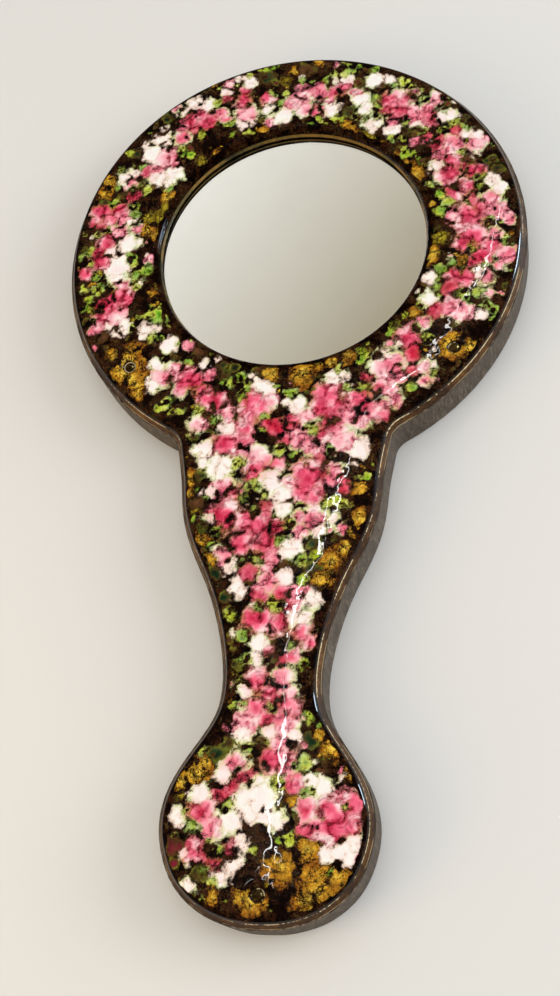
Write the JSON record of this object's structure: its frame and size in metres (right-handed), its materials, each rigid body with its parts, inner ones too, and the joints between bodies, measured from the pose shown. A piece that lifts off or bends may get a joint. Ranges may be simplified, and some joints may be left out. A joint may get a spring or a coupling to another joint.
{
  "type": "hand mirror",
  "caption": "Hand mirror with a round glass, an enamelled copper front with a flared edge, and a wooden back with a waisted handle ending in a round bulb.",
  "frame": {"origin": "centre of the mirror, on the flat back face of the wooden board", "axes": "+Z out of the mirror's face, +Y towards the top of the ring, handle towards -Y, +X to the right when the mirror faces the viewer"},
  "size_m": [0.1324, 0.2533, 0.0147],
  "materials": {
    "enamel": "gloss",
    "counter_enamel": "gloss",
    "copper": "satin, darkened",
    "glass": "gloss",
    "silvering": "mirror",
    "packing": "matte",
    "filler": "matte",
    "board": "matte, stained",
    "pins": "satin, tarnished"
  },
  "bodies": {
    "root": {"front_enamel": "enamel", "counter_enamel": "counter_enamel", "front_plate": "copper", "mirror_glass": "glass", "mirror_silvering": "silvering", "packing_disc": "packing", "filler_board": "filler", "back_board": "board", "fixing_pins": "pins"}
  },
  "joints": []
}
